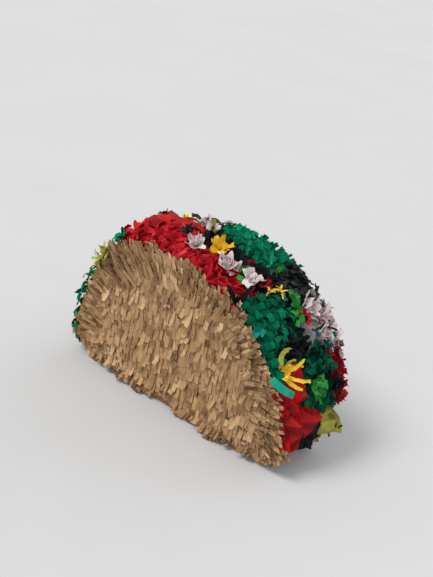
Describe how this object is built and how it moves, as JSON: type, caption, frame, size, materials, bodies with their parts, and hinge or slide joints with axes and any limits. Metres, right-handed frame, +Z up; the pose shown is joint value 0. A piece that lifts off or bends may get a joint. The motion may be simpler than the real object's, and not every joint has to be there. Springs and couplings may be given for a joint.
{
  "type": "pinata",
  "caption": "Taco-shaped party pinata: two leaning card faces with kraft paper fringe, a curved rim filled with tissue ruffles, and a loading flap behind.",
  "frame": {"origin": "centre of the flat base, on the surface the pinata stands on", "axes": "+X along the length, -Y out of the front face, +Z up"},
  "size_m": [0.475, 0.1518, 0.2784],
  "materials": {
    "card": "matte",
    "kraft_paper": "matte",
    "gummed_tape": "satin",
    "tissue_red": "matte",
    "tissue_scarlet": "satin",
    "tissue_green": "matte",
    "tissue_black": "matte",
    "tissue_white": "matte",
    "tissue_yellow": "matte",
    "tissue_lime": "matte"
  },
  "bodies": {
    "pinata": {"back_edge_fringe": "kraft_paper", "back_fringe_01": "kraft_paper", "back_fringe_02": "kraft_paper", "back_fringe_03": "kraft_paper", "back_fringe_04": "kraft_paper", "back_fringe_05_left": "kraft_paper", "back_fringe_05_right": "kraft_paper", "back_fringe_06_left": "kraft_paper", "back_fringe_06_right": "kraft_paper", "back_fringe_07_left": "kraft_paper", "back_fringe_07_right": "kraft_paper", "back_fringe_08": "kraft_paper", "back_fringe_09": "kraft_paper", "back_fringe_10": "kraft_paper", "back_fringe_11": "kraft_paper", "back_panel": "card", "base_strip": "card", "cheese_fold_low": "tissue_lime", "cheese_strips_left": "tissue_lime", "cheese_tuft_top": "tissue_yellow", "front_edge_fringe": "kraft_paper", "front_fringe_01": "kraft_paper", "front_fringe_02": "kraft_paper", "front_fringe_03": "kraft_paper", "front_fringe_04": "kraft_paper", "front_fringe_05": "kraft_paper", "front_fringe_06": "kraft_paper", "front_fringe_07": "kraft_paper", "front_fringe_08": "kraft_paper", "front_fringe_09": "kraft_paper", "front_fringe_10": "kraft_paper", "front_fringe_11": "kraft_paper", "front_panel": "card", "hanger_plate": "card", "hatch_hinge_tape": "gummed_tape", "lettuce_pompom": "tissue_green", "lettuce_ruffle_far": "tissue_green", "lettuce_ruffle_left": "tissue_green", "lettuce_ruffle_near": "tissue_green", "olive_fold_low": "tissue_black", "olive_tuft_far": "tissue_black", "olive_tuft_middle": "tissue_black", "onion_tuft_far": "tissue_white", "onion_tuft_middle": "tissue_white", "rim_band": "card", "rim_tape_back": "gummed_tape", "rim_tape_front": "gummed_tape", "salsa_fold_near": "tissue_scarlet", "salsa_fold_top": "tissue_scarlet", "salsa_tuft_far": "tissue_red", "tomato_ruffle_far": "tissue_red", "tomato_ruffle_near": "tissue_red", "tomato_ruffle_top": "tissue_red"},
    "hatch": {"hatch_door": "card", "hatch_fringe_1": "kraft_paper", "hatch_fringe_2": "kraft_paper", "hatch_fringe_3": "kraft_paper"}
  },
  "joints": [
    {"name": "hatch_hinge", "type": "hinge", "parent": "pinata", "child": "hatch", "pos_m": [0, 0.06276, 0.14721], "axis": [1, 0, 0], "range_deg": [0, 100]}
  ]
}
